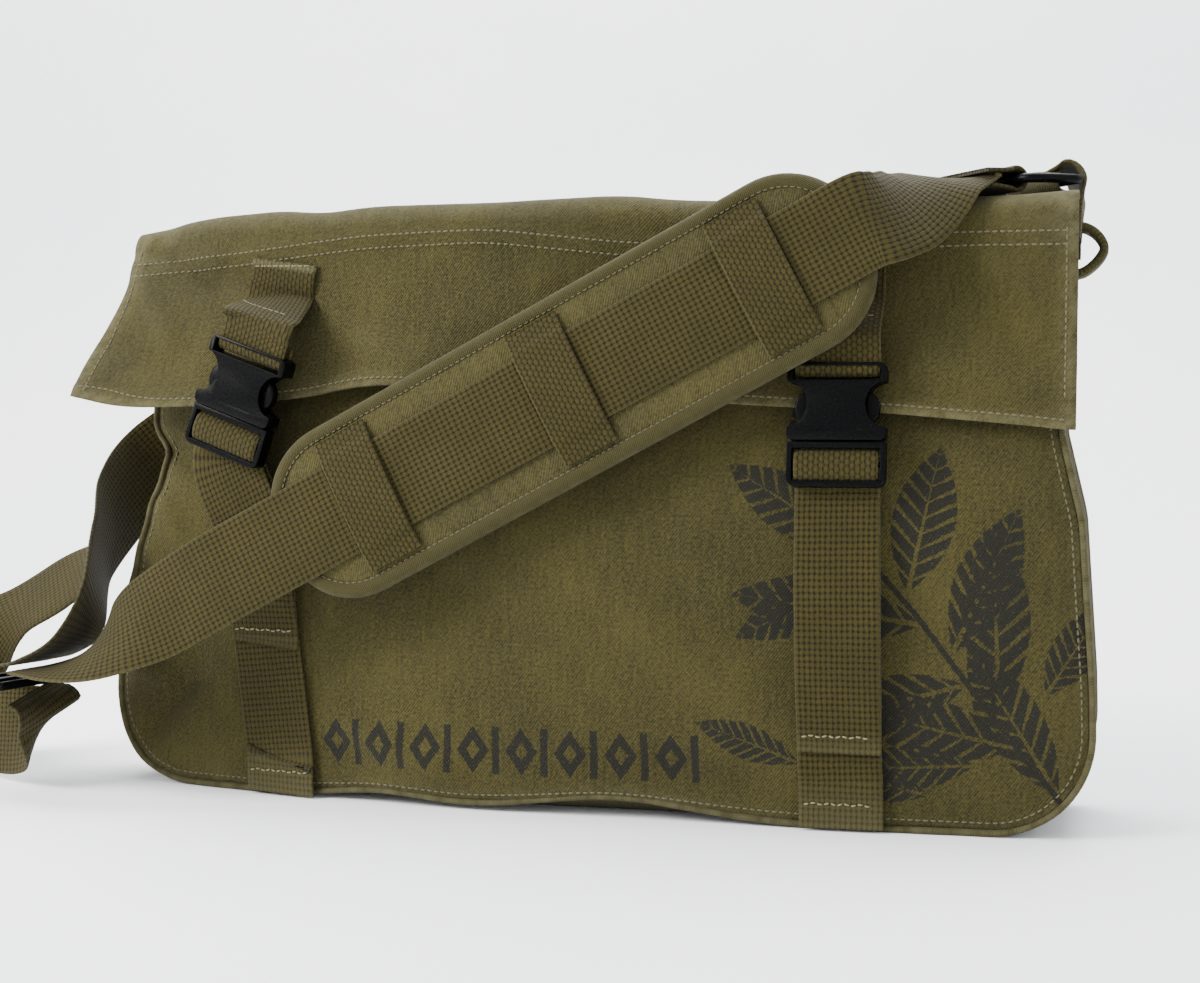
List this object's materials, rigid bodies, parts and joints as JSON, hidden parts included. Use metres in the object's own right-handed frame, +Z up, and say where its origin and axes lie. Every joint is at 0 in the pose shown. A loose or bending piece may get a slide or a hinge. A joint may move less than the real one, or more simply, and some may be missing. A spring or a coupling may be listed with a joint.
{
  "type": "messenger bag",
  "caption": "Canvas messenger bag with a fold-over flap, side-release buckles and a webbing shoulder strap with a sliding pad.",
  "frame": {"origin": "middle of the underside of the bottom gusset, on the plane the bag stands on", "axes": "+X along the bag towards its right end, +Z up, the flap and buckles face -Y"},
  "size_m": [0.6149, 0.1667, 0.3007],
  "materials": {
    "canvas": "olive drab washed cotton twill",
    "binding": "darker bound canvas edge with a stitched line",
    "webbing": "coarse olive brown cotton webbing",
    "plastic": "black satin moulded"
  },
  "bodies": {
    "root": {"front_panel": "canvas", "back_panel": "canvas", "gusset_left": "canvas", "gusset_bottom": "canvas", "gusset_right": "canvas", "front_binding": "binding", "back_binding": "binding", "lower_strap_left": "webbing", "lower_strap_right": "webbing", "strap_tail_left": "webbing", "strap_tail_right": "webbing", "ring_tab_left": "webbing", "ring_tab_right": "webbing", "side_loop": "canvas"},
    "flap": {"flap_panel": "canvas", "flap_lining": "canvas", "flap_tab_left": "webbing", "flap_tab_right": "webbing", "receptacle_left": "plastic", "receptacle_right": "plastic"},
    "buckle_right": {"buckle_frame_right": "plastic", "strap_fold_right": "webbing", "guide_right": "plastic"},
    "buckle_left": {"buckle_frame_left": "plastic", "strap_fold_left": "webbing", "guide_left": "plastic"},
    "prong_right_outer": {"prong_right_outer": "plastic"},
    "prong_right_inner": {"prong_right_inner": "plastic"},
    "prong_left_outer": {"prong_left_outer": "plastic"},
    "prong_left_inner": {"prong_left_inner": "plastic"},
    "shoulder_strap": {"strap_front": "webbing", "strap_return": "webbing", "strap_loop": "webbing", "strap_end_right": "webbing", "slider_frame": "plastic"},
    "ring_left": {"ring_left": "plastic", "strap_end_left": "webbing"},
    "ring_right": {"ring_right": "plastic"},
    "shoulder_pad": {"pad_cushion": "canvas", "pad_binding": "binding", "pad_keeper_1": "webbing", "pad_keeper_2": "webbing", "pad_keeper_3": "webbing"}
  },
  "joints": [
    {"name": "flap_hinge", "type": "hinge", "parent": "root", "child": "flap", "pos_m": [0, 0.036, 0.276], "axis": [-1, 0, 0], "range_deg": [0, 120]},
    {"name": "strap_lift", "type": "hinge", "parent": "root", "child": "shoulder_strap", "pos_m": [0, 0.036, 0.276], "axis": [-1, 0, 0], "range_deg": [0, 120], "deforming": ["strap_return", "strap_loop", "ring_tab_right"]},
    {"name": "buckle_right_release", "type": "slide", "parent": "root", "child": "buckle_right", "axis": [0, -0.1219, -0.9925], "range_m": [0, 0.02], "deforming": ["prong_right_outer", "prong_right_inner", "guide_right", "lower_strap_right", "strap_tail_right"]},
    {"name": "prong_right_outer_flex", "type": "hinge", "parent": "buckle_right", "child": "prong_right_outer", "pos_m": [0.1478, -0.05194, 0.17544], "axis": [0, -0.9925, 0.1219], "range_deg": [0, 8], "stiffness_Nm_per_rad": 0.3},
    {"name": "prong_right_inner_flex", "type": "hinge", "parent": "buckle_right", "child": "prong_right_inner", "pos_m": [0.1222, -0.05194, 0.17544], "axis": [0, 0.9925, -0.1219], "range_deg": [0, 8], "stiffness_Nm_per_rad": 0.3},
    {"name": "buckle_left_release", "type": "slide", "parent": "root", "child": "buckle_left", "axis": [-0.3265, 0.0221, -0.9449], "range_m": [0, 0.02], "deforming": ["prong_left_outer", "prong_left_inner", "guide_left", "lower_strap_left", "strap_tail_left"]},
    {"name": "prong_left_outer_flex", "type": "hinge", "parent": "buckle_left", "child": "prong_left_outer", "pos_m": [-0.17046, -0.03918, 0.19065], "axis": [0.1624, 0.9862, -0.033], "range_deg": [0, 8], "stiffness_Nm_per_rad": 0.3},
    {"name": "prong_left_inner_flex", "type": "hinge", "parent": "buckle_left", "child": "prong_left_inner", "pos_m": [-0.14663, -0.04339, 0.18231], "axis": [-0.1624, -0.9862, 0.033], "range_deg": [0, 8], "stiffness_Nm_per_rad": 0.3},
    {"name": "pad_slide", "type": "slide", "parent": "shoulder_strap", "child": "shoulder_pad", "axis": [-0.88, -0.0396, -0.4733], "range_m": [0, 0.03]},
    {"name": "ring_right_pivot", "type": "hinge", "parent": "shoulder_strap", "child": "ring_right", "pos_m": [0.22, 0.023, 0.2935], "axis": [-0.5736, 0.8191, 0], "range_deg": [0, 25], "deforming": ["strap_end_right"]},
    {"name": "ring_left_pivot", "type": "hinge", "parent": "root", "child": "ring_left", "pos_m": [-0.193, 0.05, 0.256], "axis": [1, 0, 0], "range_deg": [0, 25]}
  ],
  "couplings": [
    {"joint": "strap_lift", "follows": "flap_hinge", "ratio": 1},
    {"joint": "prong_right_inner_flex", "follows": "prong_right_outer_flex", "ratio": 1},
    {"joint": "prong_left_inner_flex", "follows": "prong_left_outer_flex", "ratio": 1}
  ]
}
